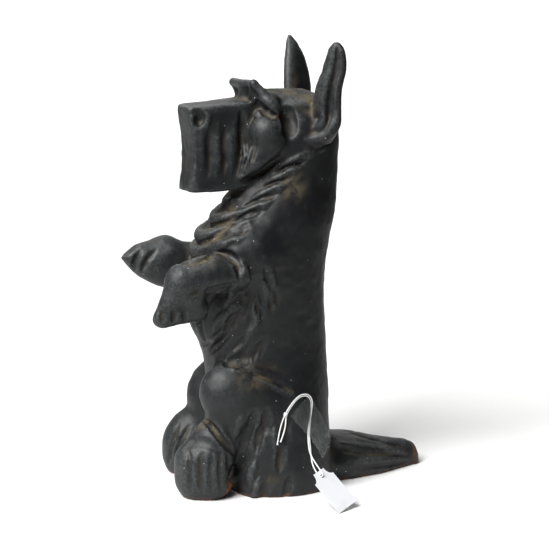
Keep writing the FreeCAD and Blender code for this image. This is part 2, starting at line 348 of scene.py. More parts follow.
def stack(levels):
    """A tall form from ovals: height, middle X, middle Y, half width, half depth and turn of each."""
    table = np.array(levels, dtype=float)
    widest = table[:, 3:5].max()
    low = [table[:, 1].min() - widest, table[:, 2].min() - widest, table[0, 0]]
    high = [table[:, 1].max() + widest, table[:, 2].max() + widest, table[-1, 0]]

    def distance(x, y, z):
        at = np.clip(z, table[0, 0], table[-1, 0])
        cx, cy, wide, deep, turn = [eased(at, table[:, 0], table[:, i]) for i in range(1, 6)]
        c, s = np.cos(np.radians(turn)), np.sin(np.radians(turn))
        u = c * (x - cx) + s * (y - cy)
        v = -s * (x - cx) + c * (y - cy)
        part, across = oval((u, v), (wide, deep))
        # the middle is far inside, where the oval's own distance breaks down
        across = np.where(part > 0.2, across, -np.minimum(wide, deep) * 0.8)
        return capped(across, np.abs(z - at))

    return low, high, distance


def eased(at, places, values):
    """Values between the places of a table, on a smooth curve through them."""
    slopes = np.gradient(values, places)
    i = np.clip(np.searchsorted(places, at) - 1, 0, len(places) - 2)
    span = places[i + 1] - places[i]
    t = (at - places[i]) / span
    a = values[i] * (1 + 2 * t) * (1 - t) ** 2 + values[i + 1] * t * t * (3 - 2 * t)
    b = slopes[i] * span * t * (1 - t) ** 2 - slopes[i + 1] * span * t * t * (1 - t)
    return a + b


# ---- The dog's masses
# Z, half width, front Y and back Y of the body
BODY = [(-10, 63, -57, 44), (25, 63, -58, 43.5), (60, 58, -60, 42), (90, 48, -63, 42.5), (112, 43, -67, 41.5),
        (140, 42, -77, 40.5), (165, 43, -78, 39.5), (190, 45, -77, 40.8), (213, 45, -72, 44.5),
        (228, 43, -58, 48), (242, 41, -48, 50), (256, 38, -40, 51), (280, 36, -30, 52), (305, 35, -24, 51),
        (320, 32, -22, 46), (331, 26, -18, 38), (336, 12, -6, 24)]


def body():
    return stack([(z, 0, (front + back) / 2, half_width, (back - front) / 2, 0)
                  for z, half_width, front, back in BODY])


# Y, half width, bottom and top of the muzzle
MUZZLE = [(-85.5, 18.5, 255, 326), (-62, 20, 255, 327), (-40, 21, 257, 329), (-18, 23, 266, 331)]
MUZZLE_CORNER = 9.0
MUZZLE_EDGE = 2.0


def muzzle():
    """A square bar along Y, with its front corners rounded."""
    table = np.array(MUZZLE, dtype=float)
    centre_y = (table[0, 0] + table[-1, 0]) / 2
    half_y = (table[-1, 0] - table[0, 0]) / 2

    def distance(x, y, z):
        at = np.clip(y, table[0, 0], table[-1, 0])
        wide, low, high = [eased(at, table[:, 0], table[:, i]) for i in range(1, 4)]
        plan = rounded(np.abs(x) - wide, np.abs(y - centre_y) - half_y, MUZZLE_CORNER)
        return rounded(plan, np.abs(z - (low + high) / 2) - (high - low) / 2, MUZZLE_EDGE)

    widest = table[:, 1].max()
    low = [-widest, table[0, 0], table[:, 2].min()]
    return low, [widest, table[-1, 0], table[:, 3].max()], distance


def rounded(a, b, edge):
    """The distance to what two distances have in common, with the corner between them rounded."""
    return (np.sqrt(np.maximum(a + edge, 0) ** 2 + np.maximum(b + edge, 0) ** 2)
            + np.minimum(np.maximum(a + edge, b + edge), 0) - edge)


def bar(levels):
    """A long form from ovals along Y: Y, middle X, middle Z, half width and half height of each."""
    table = np.array(levels, dtype=float)
    low = [(table[:, 1] - table[:, 3]).min(), table[0, 0], (table[:, 2] - table[:, 4]).min()]
    high = [(table[:, 1] + table[:, 3]).max(), table[-1, 0], (table[:, 2] + table[:, 4]).max()]

    def distance(x, y, z):
        at = np.clip(y, table[0, 0], table[-1, 0])
        cx, cz, wide, tall = [eased(at, table[:, 0], table[:, i]) for i in range(1, 5)]
        _, across = oval((x - cx, z - cz), (wide, tall))
        return capped(across, np.abs(y - at))

    return low, high, distance


def side_points(points, side):
    return [(x * side, y, z) for x, y, z in points]


# Z, X away from the middle, Y, half width and half thickness of the left ear (1) and of the right ear (-1)
EAR_LEVELS = {
    1: [(284, 30, 22, 2, 2), (293, 33, 24, 9, 6), (305, 36, 28, 12.5, 8), (320, 38, 29, 13, 7.5),
        (340, 41, 30, 12, 6.5), (356, 44, 33.5, 10.5, 6), (367, 45.5, 34.5, 9, 5.5),
        (374, 46, 34.5, 6.5, 4.5), (378.5, 46.5, 34.5, 2.5, 2.5)],
    -1: [(284, 30, 22, 2, 2), (293, 33, 24, 9, 6), (305, 35, 28, 15, 9), (320, 37, 30, 16.5, 8.5),
         (335, 39, 31, 16.5, 8), (350, 42, 31, 15, 7), (362, 44, 30, 11.5, 6), (372, 45.5, 28, 6.5, 4),
         (380, 46.5, 26, 1.2, 1.2)]}
EAR_TURN = {1: 45, -1: 55}


def ears(clay):
    for side, levels in EAR_LEVELS.items():
        blade = [(z, side * x, y, wide, thick, side * EAR_TURN[side]) for z, x, y, wide, thick in levels]
        clay.add(stack(blade), 3)


def hind_legs(clay):
    # thighs and haunches
    for side in (1, -1):
        clay.add(egg((side * 37, -10, 20), (27, 42, 72)), 8)
        clay.add(egg((side * 46, -32, 8), (14, 16, 18)), 6)
        clay.add(egg((side * 29, -22, 61), (24, 48, 46), (-24, 0, 0)), 6)
    clay.add(egg((33, -42, 80), (24, 41, 32), (-30, 0, 0)), 10)
    clay.add(egg((-34, -34, 68), (21, 38, 34), (-24, 0, 0)), 10)
    # feet: the near one in front of its thigh, the far one set back
    clay.add(block((36, -79, 22), (21, 24.5, 27), 20, (0, 0, -28)), 2)
    clay.add(egg((35, -70, 44), (19, 20, 22), (-20, 0, 0)), 8)
    clay.add(block((-39, -69, 20), (22, 23.5, 26), 20, (0, 0, 20)), 2)
    clay.add(egg((-38, -64, 36), (20, 22, 21), (-20, 0, 0)), 8)


def forelegs(clay):
    # left foreleg: elbow, forearm, and the paw that hangs
    clay.add(egg((33, -36, 204), (16, 24, 24)), 10)
    clay.add(limb([(37, -50, 190), (38, -72, 190), (38, -96, 186)], [15.5, 16.5, 14.5]), 3)
    clay.add(limb([(37, -98, 180), (37, -117, 154)], [14.5, 4.5]), 3)
    clay.add(limb([(37, -90, 172), (37, -84, 161)], [14, 10]), 3)
    clay.add(limb([(37, -113, 155), (37, -85, 161)], [8, 10]), 3)
    # right foreleg, held up
    clay.add(egg((-33, -36, 204), (16, 24, 24)), 10)
    clay.add(bar(RAISED_PAW), 3)


# Y, X, Z, half width and half height of the raised paw, and of the tail
RAISED_PAW = [(-133, -31, 199, 1.5, 1), (-128, -31, 197, 6, 6), (-120, -31.5, 193.5, 10, 11.5),
              (-106, -32, 190.5, 14, 18), (-91, -32, 189.5, 16.5, 23), (-75, -32, 187, 17, 19.5),
              (-58, -33, 186, 17, 19)]
TAIL = [(20, 0, 16, 40, 28), (47, 0, 11.7, 38, 23.8), (67, 0, 10.5, 34, 22.5), (90, 0, 7.5, 27, 19.5),
        (108, 0, 5.8, 18, 17.8), (122, 0, 4, 11, 16), (129, 0, 1.5, 8, 13.5), (132, 0, -2, 3, 10)]

# Z, X, Y, half width, half depth and turn of the crest, and the tips of its fan
CREST = [(320, 0, -22, 12, 6, 0), (328, 0, -23, 13, 6, 0), (336, 0, -27, 19, 5, 0), (344, 0, -31, 26, 3.5, 0)]
CREST_TIPS = {1: (26, -31, 345), -1: (-25, -32, 342)}


def head(clay):
    # crest: a fan that stands up from the brow
    clay.add(limb([CREST_TIPS[-1], CREST_TIPS[1]], [3.2, 3.2]), 1)
    clay.add(stack(CREST), 2)
    clay.add(limb([(0, -25, 331), (0, -4, 328)], [10, 8]), 6)
    for side in (1, -1):
        clay.add(egg((side * 28, -17, 302), (13, 16, 20)), 4)
        clay.add(limb(side_points([(27, -18, 296), (25, -30, 281), (22, -41, 267)], side), [13, 10, 2.5]), 3)
        # the fan's edge down to the muzzle, and the ridge over the eye
        tip = CREST_TIPS[side]
        clay.add(limb([tip] + side_points([(19, -27, 335), (12, -24, 323)], side), [3.0, 5.5, 6]), 2)
        clay.add(limb([tip] + side_points([(29, -24, 337), (33, -15, 326), (34, -10, 317)], side),
                      [2.6, 4, 5, 3]), 2)
        clay.add(egg((side * 18, -18, 330), (14, 12, 8)), 4)
        clay.cut(egg((side * 30, -28, 325), (8, 7, 8)), 2)
        clay.add(egg((side * 25, -24, 318), (6, 6, 5.5)), 1)
        # a pit for each nostril
        clay.cut(egg((side * 19, -76, 315), (4.5, 5, 5.5), (0, 0, side * 40)), 2)
    # the hollow of the fan, the muzzle's hollow front and its mouth
    clay.cut(egg((0, -45, 342), (16, 8, 9)), 3)
    clay.cut(limb([(-30, -187, 286), (30, -187, 286)], [107, 107]), 1)
    clay.cut(limb([(-14, -84, 285), (0, -85, 284), (14, -84, 285)], [2, 2.5, 2]), 2)


WALL = 5.5
SCREWS = [(4, 226, -36), (6, 62, -50)]      # Y, Z and the X of the seat
BOSS_R = 9.0
COUNTERBORE_R = 6.3
CLEARANCE_R = 3.6
HOLLOW_TOP = 318.0
SNOUT_BOTTOM = 245.0
SOLID_SNOUT = -52.0         # the muzzle is solid in front of this
THINNEST = 2.5              # the least wall that a groove leaves


def inside(clay):
    """The space inside the castings, with the screw bosses standing in it."""
    y, z = clay.axes[1][None, :, None], clay.axes[2][None, None, :]
    hollow = np.maximum(clay.field + WALL, z - HOLLOW_TOP)
    hollow = np.maximum(hollow, np.where(z > SNOUT_BOTTOM, SOLID_SNOUT - y, -FAR))
    for across, up, _ in SCREWS:
        hollow = np.maximum(hollow, BOSS_R - np.sqrt((y - across) ** 2 + (z - up) ** 2))
    return hollow


def masses():
    clay = Clay((-70, -140, -6), (70, 140, 386))
    clay.add(body(), 0)
    hind_legs(clay)
    clay.add(bar(TAIL), 5)
    clay.add(egg((0, 8, 295), (37, 42, 40)), 6)
    clay.add(muzzle(), 4)
    hollow = inside(clay)
    forelegs(clay)
    head(clay)
    ears(clay)
    return clay, hollow


def smooth_line(places, spacing):
    """Points along a smooth curve through the places."""
    places = np.array(places, dtype=float)
    steps = np.linalg.norm(np.diff(places, axis=0), axis=1)
    at = np.concatenate([[0], np.cumsum(steps)])
    count = max(int(at[-1] / spacing), 3)
    where = np.linspace(0, at[-1], count)
    return np.stack([eased(where, at, places[:, i]) for i in range(places.shape[1])], 1)


STROKE_ENDS = 0.35          # the size of a stroke at its ends, as a part of its full size
GROOVE_BLEND = 0.8
RIDGE_BLEND = 1.2
LINE_STEP = 2.5


def stroke(clay, line, height, width):
    """A ridge, or a groove where the height is negative, that fades at both ends."""
    centres = []
    radii = []
    for i, spot in enumerate(line):
        along = i / (len(line) - 1)
        fade = STROKE_ENDS + (1 - STROKE_ENDS) * min(1, 4 * along, 4 * (1 - along))
        half, deep = width * fade, abs(height) * fade
        radius = (half ** 2 + deep ** 2) / (2 * deep)
        out = clay.normal(*spot)
        away = radius - deep if height < 0 else deep - radius
        centres.append(spot + out * away)
        radii.append(radius)
    tool = limb(centres, radii)
    if height < 0:
        clay.cut(tool, GROOVE_BLEND)
    else:
        clay.add(tool, RIDGE_BLEND)


def evened(line):
    """The line with each of its points moved towards the mean of its neighbours."""
    line = np.array(line)
    for _ in range(3):
        line[1:-1] = 0.5 * line[1:-1] + 0.25 * (line[:-2] + line[2:])
    return line


def on_side(clay, side, places):
    """The skin beside each place along a smooth line of (Y, Z) places."""
    return evened([[clay.skin_x(side, y, z), y, z] for y, z in smooth_line(places, LINE_STEP)])


def on_front(clay, places):
    """The skin in front of each place along a smooth line of (X, Z) places."""
    return evened([[x, clay.front_y(x, z), z] for x, z in smooth_line(places, LINE_STEP)])


def unevenness(clay, size, depth, seed):
    """Raises and lowers the whole skin by smooth random amounts."""
    random = np.random.default_rng(seed)
    field = random.uniform(-depth, depth, [int(n * STEP / size) + 3 for n in clay.field.shape])
    for axis, places in enumerate(clay.axes):
        at = np.arange(len(places)) * STEP / size
        low = at.astype(int)
        part = at - low
        shape = [1, 1, 1]
        shape[axis] = len(part)
        part = (part * part * (3 - 2 * part)).reshape(shape)
        field = np.take(field, low, axis) * (1 - part) + np.take(field, low + 1, axis) * part
    clay.field += field.astype(np.float32)


def surface(field, axes):
    """Points and quads of the zero surface: one point in each cell that it passes through."""
    inside = field < 0
    cells = tuple(n - 1 for n in field.shape)
    total = np.zeros(cells + (3,), np.float32)
    count = np.zeros(cells, np.int16)
    crossings = []
    for axis in range(3):
        here = [slice(None)] * 3
        there = [slice(None)] * 3
        here[axis] = slice(0, -1)
        there[axis] = slice(1, None)
        a, b = field[tuple(here)], field[tuple(there)]
        index = np.argwhere(inside[tuple(here)] != inside[tuple(there)])
        va, vb = a[tuple(index.T)], b[tuple(index.T)]
        spot = index.astype(np.float32)
        spot[:, axis] += va / (va - vb)
        crossings.append((axis, index, va < 0))
        others = [i for i in range(3) if i != axis]
        for di in (0, 1):
            for dj in (0, 1):
                cell = index.copy()
                cell[:, others[0]] -= di
                cell[:, others[1]] -= dj
                ok = np.all((cell >= 0) & (cell < np.array(cells)), axis=1)
                where = tuple(cell[ok].T)
                np.add.at(total, where, spot[ok])
                np.add.at(count, where, 1)
    used = count > 0
    number = np.full(cells, -1, np.int64)
    number[used] = np.arange(used.sum())
    points = total[used] / count[used][:, None]
    points = points * STEP + np.array([axis[0] for axis in axes])
    quads = []
    for axis, index, starts_inside in crossings:
        others = [i for i in range(3) if i != axis]
        corners = []
        for di, dj in ((1, 1), (0, 1), (0, 0), (1, 0)):
            cell = index.copy()
            cell[:, others[0]] -= di
            cell[:, others[1]] -= dj
            cell = np.clip(cell, 0, np.array(cells) - 1)
            corners.append(number[tuple(cell.T)])
        quad = np.stack(corners, 1)
        flip = starts_inside if axis != 1 else ~starts_inside
        quad[~flip] = quad[~flip][:, ::-1]
        quads.append(quad)
    return points, np.concatenate(quads)


# ---- Fur and creases. Each stroke is a height, a half width and the (Y, Z) places along it.
LOCK_JITTER = 0.40          # how far a lock strays along its row, as a part of the locks' spacing
LOCK_RISE = 0.4             # and how far up or down, as a part of its length
LOCK_LENGTH = 1.25          # as a part of the rows' spacing


def arc(centre, radius, start, end, count=6):
    """(Y, Z) places round an arc, from one angle to another in degrees."""
    turns = np.radians(np.linspace(start, end, count))
    return [(centre[0] + radius * math.cos(turn), centre[1] + radius * math.sin(turn)) for turn in turns]


def locks(top, bottom, rows, columns, lean, height, width, seed):
    """Short locks in staggered rows: top and bottom are each a front Y, a back Y and a Z."""
    random = np.random.default_rng(seed)
    strokes = []
    for row in range(rows):
        down = row / (rows - 1)
        front, back, z = [a + (b - a) * down for a, b in zip(top, bottom)]
        spacing = (back - front) / columns
        length = LOCK_LENGTH * (top[2] - bottom[2]) / (rows - 1)
        for column in range(columns):
            stray = spacing * LOCK_JITTER * random.uniform(-1, 1)
            y = front + spacing * (column + 0.25 + 0.5 * (row % 2)) + stray
            middle = z + length * LOCK_RISE * random.uniform(-1, 1)
            size = height * random.uniform(0.6, 1.1)
            bend = lean * random.uniform(0.6, 1.4)
            sign = 1 if (row + column) % 3 == 0 else -1
            strokes.append((sign * size, width, (y, middle + length / 2), (y + bend * 0.7, middle),
                            (y + bend, middle - length / 2)))
    return strokes


def snout():
    """Upright creases down the muzzle's side, and the fold round the nostril."""
    strokes = [(-2.4, 3.4, *arc((-77, 317), 6, 140, -40)), (1.6, 2.4, *arc((-77, 316), 10, 50, -50))]
    for i in range(5):
        y = -72 + 6.5 * i
        height = -1.4 if i % 2 else 1.1
        strokes.append((height, 3.0, (y, 312), (y - 2, 296), (y - 1, 282), (y - 3, 268)))
    return strokes


def face():
    """The groove at the muzzle's root, the brow, the cheek's fringe and the hollow behind the eye."""
    return [(-4.0, 4.5, (-40, 321), (-38, 296), (-41, 270)),
            (2.4, 8.0, *arc((-22, 296), 13, 130, 60, 3)),
            (1.6, 2.6, (-35, 312), (-36, 292), (-40, 274)),
            (-1.8, 2.2, (-31, 300), (-36, 278)),
            (1.4, 3.0, (-12, 291), (-25, 281), (-39, 268)),
            (-2.4, 3.0, (-10, 284), (-21, 274), (-33, 266)),
            (-4.0, 7.0, (-3, 324), (-3, 312), (-5, 300)),
            (2.6, 4.0, (-28, 333), (-20, 330), (-13, 321)),
            (-2.4, 3.0, (-27, 328), (-22, 321), (-17, 316))]


def ear():
    """The channel down the ear's side, the lip in front of it and the folds round its root."""
    blade = [(y - 1, z) for z, _, y, _, _ in EAR_LEVELS[1][2:-1]]
    lip = [(y - 5, z) for y, z in blade[:-1]]
    return [(-3.0, 3.4, *blade), (0.9, 2.4, *lip),
            (2.4, 4.5, *arc((16, 318), 20, 10, -105)),
            (-2.4, 3.0, *arc((16, 318), 29, -15, -90)),
            (1.8, 2.6, *arc((17, 316), 9, 60, -80)),
            (-2.4, 2.6, *arc((15, 316), 6, 40, -40, 3))]


RUFF_ROWS = 11


def ruff():
    """Long locks that fall forwards from behind the cheek down to the chest, with grooves between."""
    strokes = []
    for row in range(RUFF_ROWS):
        down = row / (RUFF_ROWS - 1)
        back = 20 - 66 * down
        front = -8 - 60 * down
        z = 284 - 68 * down
        middle = (back + front) / 2
        height, width = (-2.6, 3.0) if row % 2 else (2.3, 4.2)
        strokes.append((height, width, (back, z + 4), (middle, z - 1), (front, z - 8)))
        strokes.append((-height * 0.6, 3.0, (back - 6, z + 1), (middle - 3, z - 5)))
    return strokes


def foreleg():
    """The crease over the forearm and round the elbow, and the claws of the paw."""
    strokes = [(-2.6, 3.5, (-102, 199), (-82, 203), (-66, 208)),
               (-2.8, 3.8, *arc((-66, 193), 15, 90, -25)),
               (-2.6, 4.0, (-92, 177), (-74, 179), (-55, 183))]
    for i in range(3):
        y = -115 + 9 * i
        strokes.append((-1.7, 2.6, (y, 165), (y - 1, 158), (y, 152)))
    return strokes


def foot():
    """The crease over the foot and behind it, the toes' grooves, and the arch above them."""
    strokes = [(-3.2, 4.0, (-78, 67), (-70, 55), (-57, 38)), (-3.5, 5.0, (-64, 38), (-60, 22), (-60, 6)),
               (-0.9, 4.0, *arc((-84, 36), 14, 175, 5))]
    for i in range(4):
        y = -96 + 8 * i
        strokes.append((-1.8, 2.5, (y + 2, 42), (y, 26), (y + 1, 8)))
    return strokes


def far_limbs():
    """Toes of the raised paw and of the far foot."""
    strokes = []
    for i in range(2):
        strokes.append((-2.0, 2.8, (-103 - 12 * i, 202), (-112 - 9 * i, 193), (-115 - 6 * i, 184)))
    for i in range(2):
        strokes.append((-2.1, 2.7, (-74 - 8 * i, 46), (-83 - 5 * i, 32), (-87 - 4 * i, 9)))
    return strokes


def thigh():
    """The edge of the thigh, from the belly down towards the tail."""
    edge = [(-60, 112), (-33, 99), (-6, 84)]
    return [(-1.8, 5.0, *[(y, z + 3) for y, z in edge]), (1.4, 2.6, *[(y + 2, z - 1) for y, z in edge]),
            (-3.6, 6.5, (-57, 113), (-41, 115))]


def tail_hair():
    """Strands along the tail, closing towards its tip."""
    strokes = []
    for i in range(5):
        height = 1.1 if i % 2 else -1.4
        strokes.append((height, 2.6, (50, 38 - 7 * i), (82, 28 - 5 * i), (116, 16 - 3 * i)))
    return strokes


# A smooth hollow on the thigh, where the string lies
STRING_BED = [(-0.6, 7.0, (-6, 79), (-14, 70), (-18, 64)), (-1.6, 7.0, (-14, 66), (-20, 57), (-22, 44))]
ELBOW_CURLS = locks((-50, -18, 186), (-46, -20, 160), 3, 4, 4, 2.2, 2.8, 11)
BELLY_FUR = locks((-80, -30, 172), (-66, -22, 118), 5, 5, -7, 2.1, 2.9, 12)
HAUNCH = locks((-57, -20, 64), (-50, -10, 12), 4, 3, -4, 2.6, 4.2, 14)

# Across the chest and down the belly: height, half width and (X, Z) places
FRONT_LOCKS = [
    (4.0, 5.5, (-24, 239), (-10, 231), (0, 229), (10, 231), (24, 239)),
    (-2.5, 3.0, (-22, 231), (-8, 224), (0, 223), (8, 224), (22, 231)),
    (4.5, 5.5, (-22, 226), (-10, 218), (0, 216), (10, 218), (22, 226)),
    (-3.0, 3.0, (-22, 218), (-8, 210), (0, 208), (8, 210), (22, 218)),
    (3.0, 5.0, (-16, 209), (-6, 203), (0, 202), (6, 203), (16, 209)),
    (-2.5, 3.0, (-14, 201), (0, 194), (14, 201)),
    (2.0, 4.0, (-16, 248), (0, 243), (16, 248)),
    (-1.8, 2.5, (-4, 188), (-6, 170), (-5, 150), (-8, 125)),
    (-1.8, 2.5, (4, 188), (6, 172), (5, 150), (8, 125)),
    (1.6, 3.0, (0, 185), (1, 160), (0, 130)),
    (-1.5, 2.5, (-14, 185), (-15, 165), (-13, 140), (-15, 118)),
    (-1.5, 2.5, (14, 185), (15, 165), (13, 140), (15, 118)),
    (1.2, 3.0, (-11, 180), (-10, 150), (-12, 122)),
    (1.2, 3.0, (11, 180), (10, 150), (12, 122)),
]
SIDE_STROKES = (snout() + face() + ear() + ruff() + ELBOW_CURLS + BELLY_FUR + thigh() + HAUNCH + STRING_BED
                + tail_hair())
LEFT_STROKES = foreleg() + foot()


def build():
    """The finished clay, and the distance to the space inside it."""
    clay, hollow = masses()
    for height, width, *places in FRONT_LOCKS:
        stroke(clay, on_front(clay, places), height, width)
    for height, width, *places in LEFT_STROKES:
        stroke(clay, on_side(clay, 1, places), height, width)
    for height, width, *places in far_limbs():
        stroke(clay, on_side(clay, 0, places), height, width)
    for height, width, *places in SIDE_STROKES:
        for side in (1, -1):
            stroke(clay, on_side(clay, side, places), height, width)
    unevenness(clay, 13, 0.55, 1)
    unevenness(clay, 5, 0.28, 2)
    return clay, np.maximum(hollow, clay.field + THINNEST)


# ---- Materials
def new_material(name):
    """A new material, its node tree, its shader and the places on its object."""
    material = bpy.data.materials.new(name)
    material.use_nodes = True
    tree = material.node_tree
    place = node(tree, "ShaderNodeTexCoord").outputs["Object"]
    return material, tree, tree.nodes["Principled BSDF"], place


def node(tree, kind, settings=None, **links):
    """A node whose inputs are values or other nodes' outputs, by socket name with _ for spaces."""
    made = tree.nodes.new(kind)
    for key, value in (settings or {}).items():
        setattr(made, key, value)
    for key, value in links.items():
        join(tree, value, made.inputs[key.replace("_", " ")])
    return made


def join(tree, value, socket):
    """Links an output to a socket, or sets the socket to a value."""
    if isinstance(value, bpy.types.NodeSocket):
        tree.links.new(value, socket)
    else:
        socket.default_value = value


def math_node(tree, operation, a, b=0.0, clamp=False):
    made = tree.nodes.new("ShaderNodeMath")
    made.operation = operation
    made.use_clamp = clamp
    join(tree, a, made.inputs[0])
    join(tree, b, made.inputs[1])
    return made.outputs[0]


def mix_color(tree, factor, a, b):
    made = tree.nodes.new("ShaderNodeMix")
    made.data_type = "RGBA"
    join(tree, factor, made.inputs[0])
    join(tree, a, made.inputs[6])
    join(tree, b, made.inputs[7])
    return made.outputs[2]


def ramp(tree, value, low, high):
    """The value mapped to 0 at low and 1 at high, clamped and eased."""
    made = tree.nodes.new("ShaderNodeMapRange")
    made.interpolation_type = "SMOOTHSTEP"
    join(tree, value, made.inputs[0])
    made.inputs[1].default_value = low
    made.inputs[2].default_value = high
    return made.outputs[0]


def noise(tree, place, scale, detail=3.0, roughness=0.55):
    made = node(tree, "ShaderNodeTexNoise", Vector=place, Scale=scale, Detail=detail, Roughness=roughness)
    return made.outputs["Fac"]


def stored(tree, name):
    """The numbers that store() keeps on a mesh."""
    return node(tree, "ShaderNodeAttribute", {"attribute_name": name}).outputs["Fac"]


def bump(tree, shader, **inputs):
    """A bump node that drives the shader's normals, and those normals."""
    normals = node(tree, "ShaderNodeBump", **inputs).outputs[0]
    tree.links.new(normals, shader.inputs["Normal"])
    return normals


PAINT_DARK = (0.0045, 0.0049, 0.0060, 1)
PAINT_LIGHT = (0.0100, 0.0108, 0.0114, 1)
# Grey of worn paint, which also paints the highlight on crests, up-facing and best-lit parts
PAINT_WORN_AND_LIT = (0.082, 0.087, 0.087, 1)
DUST = (0.115, 0.092, 0.050, 1)
RUST_DARK = (0.16, 0.045, 0.014, 1)
RUST_LIGHT = (0.33, 0.12, 0.035, 1)
SPECK = (0.55, 0.55, 0.52, 1)


def black_paint():
    """Old satin black paint over cast iron: dust in the hollows, grey on the crests and up-facing parts as
    worn paint with a painted highlight, rust and specks.
    """
    material, tree, shader, place = new_material("black_painted_iron")
    crest = stored(tree, "crest")
    dust = stored(tree, "dust")
    rust = stored(tree, "rust")
    mottle = noise(tree, place, 38.0, 4.0)
    grain = noise(tree, place, 420.0, 4.0, 0.6)
    lumps = noise(tree, place, 110.0, 3.0)
    color = mix_color(tree, ramp(tree, mottle, 0.35, 0.7), PAINT_DARK, PAINT_LIGHT)
    # Crests and up-facing parts turn grey: partly worn paint, partly a painted highlight
    rubbed_and_lit = math_node(tree, "MULTIPLY", crest, ramp(tree, grain, 0.25, 0.75))
    color = mix_color(tree, math_node(tree, "MULTIPLY", rubbed_and_lit, 0.8), color, PAINT_WORN_AND_LIT)
    dusty = math_node(tree, "MULTIPLY", dust, ramp(tree, lumps, 0.36, 0.62))
    color = mix_color(tree, math_node(tree, "MULTIPLY", dusty, 0.75), color, DUST)
    rusty = math_node(tree, "MULTIPLY", rust, ramp(tree, lumps, 0.42, 0.58))
    color = mix_color(tree, rusty, color, mix_color(tree, grain, RUST_DARK, RUST_LIGHT))
    cells = node(tree, "ShaderNodeTexVoronoi", Vector=place, Scale=190.0, Randomness=1.0)
    chosen = ramp(tree, noise(tree, cells.outputs["Position"], 900.0, 0.0), 0.60, 0.64)
    near = ramp(tree, cells.outputs["Distance"], 0.085, 0.05)
    speck = math_node(tree, "MULTIPLY", chosen, near)
    color = mix_color(tree, speck, color, SPECK)
    tree.links.new(color, shader.inputs["Base Color"])
    rough = math_node(tree, "ADD", math_node(tree, "MULTIPLY", mottle, 0.22), 0.42)
    rough = math_node(tree, "ADD", rough, math_node(tree, "MULTIPLY", dusty, 0.30))
    rough = math_node(tree, "ADD", rough, math_node(tree, "MULTIPLY", rusty, 0.35), True)
    tree.links.new(rough, shader.inputs["Roughness"])
    height = math_node(tree, "ADD", math_node(tree, "MULTIPLY", grain, 0.35), lumps)
    coarse = bump(tree, shader, Height=height, Strength=0.35, Distance=0.0006)
    bump(tree, shader, Height=speck, Strength=0.5, Distance=0.0003, Normal=coarse)
    shader.inputs["Specular IOR Level"].default_value = 0.4
    return material


def screw_steel():
    """Darkened steel with traces of black paint in the slot and thread."""
    material, tree, shader, place = new_material("screw_steel")
    patches = noise(tree, place, 260.0, 4.0)
    fine = noise(tree, place, 1500.0, 2.0)
    painted = ramp(tree, patches, 0.42, 0.56)
    metal = mix_color(tree, fine, (0.19, 0.165, 0.14, 1), (0.33, 0.30, 0.26, 1))
    tree.links.new(mix_color(tree, painted, metal, (0.018, 0.017, 0.016, 1)), shader.inputs["Base Color"])
    tree.links.new(math_node(tree, "SUBTRACT", 1.0, painted), shader.inputs["Metallic"])
    tree.links.new(ramp(tree, fine, -0.6, 1.8), shader.inputs["Roughness"])
    bump(tree, shader, Height=patches, Strength=0.4, Distance=0.0002)
    return material


def clear_tape():
    """Clear tape, hazy with glue, and clearer where it is wrinkled."""
    material, tree, shader, place = new_material("clear_tape")
    haze = noise(tree, place, 120.0, 4.0)
    color = mix_color(tree, haze, (0.24, 0.26, 0.25, 1), (0.42, 0.44, 0.43, 1))
    tree.links.new(color, shader.inputs["Base Color"])
    crumple = stored(tree, "crumple")
    cover = math_node(tree, "MULTIPLY", ramp(tree, haze, -0.2, 1.1), 0.36)
    smooth = math_node(tree, "SUBTRACT", 1.0, math_node(tree, "MULTIPLY", crumple, 0.75))
    cover = math_node(tree, "MULTIPLY", cover, smooth)
    tree.links.new(cover, shader.inputs["Alpha"])
    bump(tree, shader, Height=noise(tree, place, 300.0, 2.0), Strength=0.15, Distance=0.0002)
    shader.inputs["Roughness"].default_value = 0.16
    return material


def white_card():
    """Smooth white card with faint fibres and grubby corners."""
    material, tree, shader, place = new_material("white_card")
    fibres = noise(tree, place, 900.0, 4.0)
    smudge = noise(tree, place, 90.0, 3.0)
    color = mix_color(tree, ramp(tree, smudge, 0.45, 0.75), (0.74, 0.755, 0.78, 1), (0.66, 0.67, 0.69, 1))
    color = mix_color(tree, math_node(tree, "MULTIPLY", fibres, 0.12), color, (0.55, 0.55, 0.55, 1))
    tree.links.new(color, shader.inputs["Base Color"])
    bump(tree, shader, Height=fibres, Strength=0.25, Distance=0.00008)
    shader.inputs["Roughness"].default_value = 0.62
    return material


def white_string():
    """White twisted cotton."""
    material, tree, shader, place = new_material("white_string")
    lint = noise(tree, place, 3000.0, 3.0)
    dirt = noise(tree, place, 150.0, 2.0)
    color = mix_color(tree, lint, (0.70, 0.70, 0.70, 1), (0.92, 0.92, 0.92, 1))
    grubby = math_node(tree, "MULTIPLY", ramp(tree, dirt, 0.5, 0.8), 0.4)
    color = mix_color(tree, grubby, color, (0.52, 0.50, 0.46, 1))
    tree.links.new(color, shader.inputs["Base Color"])
    bump(tree, shader, Height=lint, Strength=0.6, Distance=0.0001)
    shader.inputs["Roughness"].default_value = 0.85
    shader.inputs["Sheen Weight"].default_value = 0.25
    return material


# ---- Castings
SEAM = 0.08                 # each half stops this short of the parting plane


def blurred(field, reach):
    """The field averaged over a box of 2 reach + 1 points a side."""
    for axis in range(3):
        padded = np.concatenate([np.repeat(np.take(field, [0], axis), reach + 1, axis), field,
                                 np.repeat(np.take(field, [-1], axis), reach, axis)], axis)
        total = np.cumsum(padded, axis, dtype=np.float64)
        ends = [slice(None)] * 3
        starts = [slice(None)] * 3
        ends[axis] = slice(2 * reach + 1, None)
        starts[axis] = slice(0, -(2 * reach + 1))
        field = ((total[tuple(ends)] - total[tuple(starts)]) / (2 * reach + 1)).astype(np.float32)
    return field


def sampled(field, axes, points):
    """The field's values at points, by the nearest grid point."""
    at = [np.clip(np.rint((points[:, i] - axis[0]) / STEP).astype(int), 0, len(axis) - 1)
          for i, axis in enumerate(axes)]
    return field[tuple(at)]


